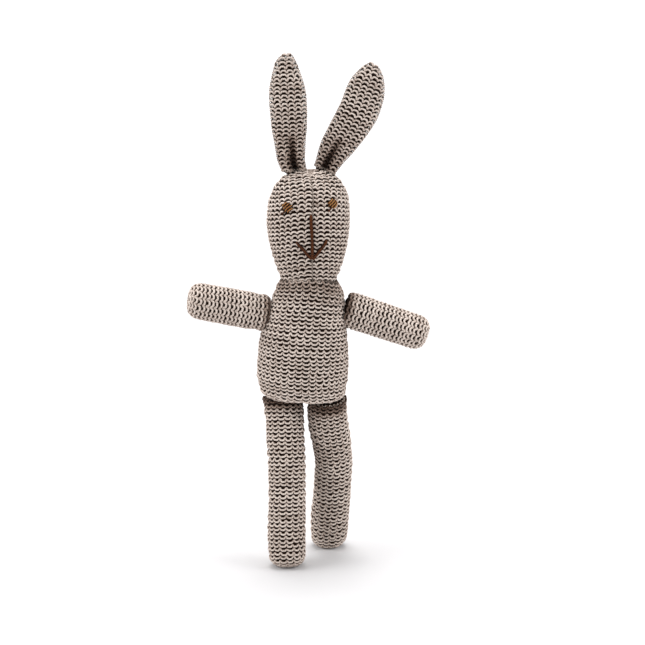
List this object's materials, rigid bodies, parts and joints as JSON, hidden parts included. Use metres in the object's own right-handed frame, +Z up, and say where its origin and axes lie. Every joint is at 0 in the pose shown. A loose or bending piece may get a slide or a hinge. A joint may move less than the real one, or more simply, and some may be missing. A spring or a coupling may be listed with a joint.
{
  "type": "stuffed rabbit toy",
  "caption": "Slim standing stuffed rabbit in knitted cotton with long upright ears, embroidered face and sewn-on soft arms and legs that swing.",
  "frame": {"origin": "on the floor, under the middle of the rabbit's outline", "axes": "+Z up along the standing height, -Y the way the rabbit faces, +X its own left side"},
  "size_m": [0.141, 0.057, 0.3016],
  "materials": {
    "knit_cotton": "reverse stocking stitch in soft cotton yarn",
    "seam_thread": "twisted cotton sewing thread",
    "brown_embroidery": "stranded brown embroidery cotton",
    "fibre_filling": "loose white polyester fibre"
  },
  "bodies": {
    "torso": {"torso_front": "knit_cotton", "torso_back": "knit_cotton", "torso_filling": "fibre_filling", "torso_base_seam": "seam_thread", "torso_left_seam": "seam_thread", "torso_right_seam": "seam_thread", "left_hip_seam": "seam_thread", "right_hip_seam": "seam_thread"},
    "neck": {"neck_seam": "seam_thread"},
    "head": {"head_left_panel": "knit_cotton", "head_right_panel": "knit_cotton", "head_filling": "fibre_filling", "head_centre_seam": "seam_thread", "left_eye": "brown_embroidery", "right_eye": "brown_embroidery", "nose_stitch_upper": "brown_embroidery", "nose_stitch_lower": "brown_embroidery", "mouth_stitch_left": "brown_embroidery", "mouth_stitch_right": "brown_embroidery", "left_ear_base_stitches": "seam_thread", "right_ear_base_stitches": "seam_thread"},
    "left_shoulder": {"left_shoulder_seam": "seam_thread"},
    "left_arm": {"left_arm_cover": "knit_cotton", "left_arm_filling": "fibre_filling", "left_arm_seam": "seam_thread"},
    "left_leg": {"left_leg_cover": "knit_cotton", "left_leg_filling": "fibre_filling", "left_leg_seam": "seam_thread"},
    "left_ear": {"left_ear_front_panel": "knit_cotton", "left_ear_back_panel": "knit_cotton", "left_ear_filling": "fibre_filling", "left_ear_edge_seam": "seam_thread"},
    "right_shoulder": {"right_shoulder_seam": "seam_thread"},
    "right_arm": {"right_arm_cover": "knit_cotton", "right_arm_filling": "fibre_filling", "right_arm_seam": "seam_thread"},
    "right_leg": {"right_leg_cover": "knit_cotton", "right_leg_filling": "fibre_filling", "right_leg_seam": "seam_thread"},
    "right_ear": {"right_ear_front_panel": "knit_cotton", "right_ear_back_panel": "knit_cotton", "right_ear_filling": "fibre_filling", "right_ear_edge_seam": "seam_thread"}
  },
  "joints": [
    {"name": "neck_turn", "type": "hinge", "parent": "torso", "child": "neck", "pos_m": [0.00179, 0, 0.17547], "axis": [0.0523, 0, 0.9986], "range_deg": [-60, 60]},
    {"name": "neck_nod", "type": "hinge", "parent": "neck", "child": "head", "pos_m": [0.00179, 0, 0.17547], "axis": [1, 0, 0], "range_deg": [-16, 16]},
    {"name": "left_shoulder_turn", "type": "hinge", "parent": "torso", "child": "left_shoulder", "pos_m": [0.03201, 0, 0.14823], "axis": [0.9941, 0, 0.1087], "range_deg": [-60, 60]},
    {"name": "left_arm_raise", "type": "hinge", "parent": "left_shoulder", "child": "left_arm", "pos_m": [0.03201, 0, 0.14823], "axis": [0, -1, 0], "range_deg": [-38, 72]},
    {"name": "right_shoulder_turn", "type": "hinge", "parent": "torso", "child": "right_shoulder", "pos_m": [-0.03111, 0, 0.15154], "axis": [-0.9773, 0, 0.212], "range_deg": [-60, 60]},
    {"name": "right_arm_raise", "type": "hinge", "parent": "right_shoulder", "child": "right_arm", "pos_m": [-0.03111, 0, 0.15154], "axis": [0, 1, 0], "range_deg": [-62, 50]},
    {"name": "left_leg_swing", "type": "hinge", "parent": "torso", "child": "left_leg", "pos_m": [0.0135, 0, 0.08947], "axis": [-1, 0, 0], "range_deg": [-15, 84]},
    {"name": "right_leg_swing", "type": "hinge", "parent": "torso", "child": "right_leg", "pos_m": [-0.0121, 0, 0.08947], "axis": [-1, 0, 0], "range_deg": [-40, 60]},
    {"name": "left_ear_fold", "type": "hinge", "parent": "head", "child": "left_ear", "pos_m": [0.01019, 0.0012, 0.2368], "axis": [0.9041, 0, -0.4274], "range_deg": [-60, 60]},
    {"name": "right_ear_fold", "type": "hinge", "parent": "head", "child": "right_ear", "pos_m": [-0.00689, -0.00075, 0.2362], "axis": [0.9987, 0, 0.0506], "range_deg": [-60, 60]}
  ]
}
